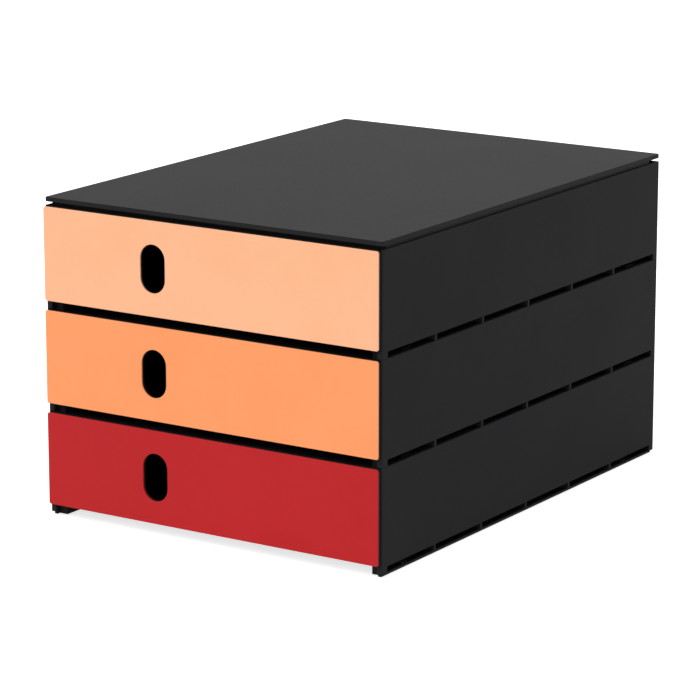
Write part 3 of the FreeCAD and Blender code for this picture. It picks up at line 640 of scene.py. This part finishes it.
def makePanel(f):
    panel = newObject("panel", prism(frontOutline(f), f["face"], f["panelBack"], "Y"))
    carve(panel, "DIFFERENCE", [prism(fingerHoleOutline(f), f["face"] - past, f["panelBack"] + past, "Y")])
    pegs = pegOutlines(f, f["pegRadius"])
    carve(panel, "UNION", [prism(peg, f["panelBack"] - f["pegBite"], f["wallBack"], "Y") for peg in pegs])
    softenEdges(panel, f["panelEdge"])
    return panel


def makeDrawers(t, f, h):
    tray, panel = makeTray(t, f, h), makePanel(f)
    for level, colour in panelColours.items():
        body, lift = f"drawer_{level}", levelLift[level]
        facing = f"mattPolystyrene{colour.title()}"
        trayNodes, panelNodes = [f"drawer_tray_{level}"], [f"drawer_front_{level}"]
        finishPiece(copyOf(tray, f"tray_{level}"), "satinAbsTray", body, trayNodes, lift)
        finishPiece(copyOf(panel, f"front_panel_{level}"), facing, body, panelNodes, lift)
    discard(tray)
    discard(panel)


makeDrawers(traySizes, frontSizes, housingSizes)
print("drawers made:", len(panelColours))


# cover: a thin plate whose lip stands inside the top module's rim

coverSizes = {
    "low": 68.2, "high": 71.0, "cornerRadius": 1.2,
    "lipSide": 120.1, "lipFront": -158.4, "lipRear": 155.9, "lip": 1.6,
    "ribs": 4, "ribHeight": 2.4, "ribHalf": 0.7, "ribBite": 0.3, "ribEdge": 0.2,
    "tabInner": 112.1, "tabHalf": 8.0, "edge": 0.22,
}


def coverLip(v, h):
    side, low, high = v["lipSide"], h["deckTop"], v["low"]
    ring = newObject("ring", prism(boxOutline(-side, side, v["lipFront"], v["lipRear"]), low, high + bite))
    inside, front, rear = side - v["lip"], v["lipFront"] + v["lip"], v["lipRear"] - v["lip"]
    carve(ring, "DIFFERENCE", [prism(boxOutline(-inside, inside, front, rear), low - past, high + past)])
    lip = ring.data.copy()
    discard(ring)
    return lip


def coverTabs(v, h, c):
    # flat feet inside the lip, which the uppermost clips hold
    tabs = []
    for sign in (-1, 1):
        ends = sorted((sign * v["tabInner"], sign * (v["lipSide"] - v["lip"] / 2)))
        for y in (c["front"], c["rear"]):
            place = boxOutline(*ends, y - v["tabHalf"], y + v["tabHalf"])
            tabs.append(prism(place, h["deckTop"], h["rimTop"]))
    return tabs


def makeCoverRibs(v):
    finish = "satinAbsCover"
    across, half = v["lipSide"] - v["lip"] + v["ribBite"], v["ribHalf"]
    outline = boxOutline(-across, across, -half, half)
    rib = newObject("coverRib", prism(outline, v["low"] - v["ribHeight"], v["low"] + bite))
    softenEdges(rib, v["ribEdge"])
    step = (v["lipRear"] - v["lipFront"]) / (v["ribs"] + 1)
    ribs = makeRows(
        "cover_ribs", rib, finish, start=(0, v["lipFront"] + step, 0), count=v["ribs"], step=(0, step, 0))
    finishPiece(ribs, finish, "stack", lift=levelLift["top"])
    discard(rib)


def makeCover(v, h, c):
    outline = roundedOutline(-h["side"], h["side"], h["front"], h["rear"], (v["cornerRadius"],) * 4)
    cover = newObject("top_cover_plate", prism(outline, v["low"], v["high"]))
    carve(cover, "UNION", [coverLip(v, h)] + coverTabs(v, h, c))
    places = socketPlaces(c, c["shankHalf"])
    carve(cover, "DIFFERENCE", [prism(place, h["deckTop"] - past, h["rimTop"] + bite) for place in places])
    softenEdges(cover, v["edge"])
    finishPiece(cover, "satinAbsCover", "stack", ["top_cover"], levelLift["top"])


makeCover(coverSizes, housingSizes, clipSizes)
makeCoverRibs(coverSizes)
print("cover made")


# floor, light and camera

# from here on lengths are in metres, and angles in degrees
# shadeSide, shadeFront and shadeRear bound the floor that the stack hides, which isn't lifted to white
stageValues = {
    "floorHalf": 12.0, "floorColour": "#E6E6E5", "floorLift": 0.74,
    "shadeSide": 0.118, "shadeFront": -0.143, "shadeRear": 0.1635,
    "skyStrength": 0.64, "sunStrength": 1.5, "sunAngle": 60, "sunAzimuth": -25, "sunElevation": 50,
}


def seenRays(tree):
    # 1 for what the eye sees straight, in a reflection or through glass, and 0 for light on the object
    rays = addNode(tree, "ShaderNodeLightPath").outputs
    seen = rays["Is Camera Ray"]
    for name in ("Is Glossy Ray", "Is Transmission Ray"):
        seen = addNode(tree, "ShaderNodeMath", {0: seen, 1: rays[name]}, operation="MAXIMUM").outputs[0]
    return seen


def makePaper(name, colour, lift):
    # smooth white backdrop paper: plain and dull, it fades to white and keeps a pale shadow
    material = bpy.data.materials.new(name)
    material.use_nodes = True
    tree = material.node_tree
    tree.nodes.clear()
    surface = addNode(tree, "ShaderNodeBsdfDiffuse", {"Color": linearColour(colour)}).outputs["BSDF"]
    if lift > 0:
        shine = addNode(tree, "ShaderNodeMath", {0: seenRays(tree), 1: lift}, operation="MULTIPLY")
        glow = addNode(tree, "ShaderNodeEmission", {"Strength": shine.outputs[0]}).outputs["Emission"]
        surface = addNode(tree, "ShaderNodeAddShader", {0: surface, 1: glow}).outputs["Shader"]
    addNode(tree, "ShaderNodeOutputMaterial", {"Surface": surface})
    return material


def makeFloor(values):
    half, side = values["floorHalf"], values["shadeSide"]
    outer = [(-half, -half, 0), (half, -half, 0), (half, half, 0), (-half, half, 0)]
    front, rear = values["shadeFront"], values["shadeRear"]
    inner = [(-side, front, 0), (side, front, 0), (side, rear, 0), (-side, rear, 0)]
    faces = [(4, 5, 6, 7)] + [(turn, (turn + 1) % 4, 4 + (turn + 1) % 4, 4 + turn) for turn in range(4)]
    mesh = bpy.data.meshes.new("floor")
    mesh.from_pydata(outer + inner, [], faces)
    mesh.materials.append(makePaper("whiteBackdropPaper", values["floorColour"], values["floorLift"]))
    mesh.materials.append(makePaper("shadedBackdropPaper", values["floorColour"], 0))
    mesh.polygons[0].material_index = 1
    newObject("floor", mesh)


def makeSky(values):
    world = bpy.data.worlds.new("studio")
    world.use_nodes = True
    bpy.context.scene.world = world
    tree = world.node_tree
    tree.nodes.clear()
    strength = addNode(tree, "ShaderNodeMapRange", {
        "Value": seenRays(tree), "To Min": values["skyStrength"], "To Max": 1.0,
    }).outputs["Result"]
    sky = addNode(tree, "ShaderNodeBackground", {"Color": (1, 1, 1, 1), "Strength": strength})
    addNode(tree, "ShaderNodeOutputWorld", {"Surface": sky.outputs["Background"]})


def makeSun(values):
    light = bpy.data.lights.new("softKey", "SUN")
    light.energy = values["sunStrength"]
    light.angle = math.radians(values["sunAngle"])
    sun = newObject("softKey", light)
    azimuth, elevation = math.radians(values["sunAzimuth"]), math.radians(values["sunElevation"])
    level = math.cos(elevation)
    towards = Vector((math.sin(azimuth) * level, -math.cos(azimuth) * level, math.sin(elevation)))
    sun.rotation_mode = "QUATERNION"
    sun.rotation_quaternion = towards.to_track_quat("Z", "Y")


cameraValues = {"place": (1.1419, -1.756, 0.5979), "azimuth": 33.22, "elevation": 13.7, "lens": 175.2}


def makeCamera(values):
    data = bpy.data.cameras.new("camera")
    data.lens = values["lens"]
    data.clip_end = 100
    camera = newObject("camera", data)
    camera.location = values["place"]
    camera.rotation_euler = (math.radians(90 - values["elevation"]), 0, math.radians(values["azimuth"]))
    bpy.context.scene.camera = camera


makeFloor(stageValues)
makeSky(stageValues)
makeSun(stageValues)
makeCamera(cameraValues)
bpy.context.scene.view_settings.view_transform = "Standard"
print("stage made")
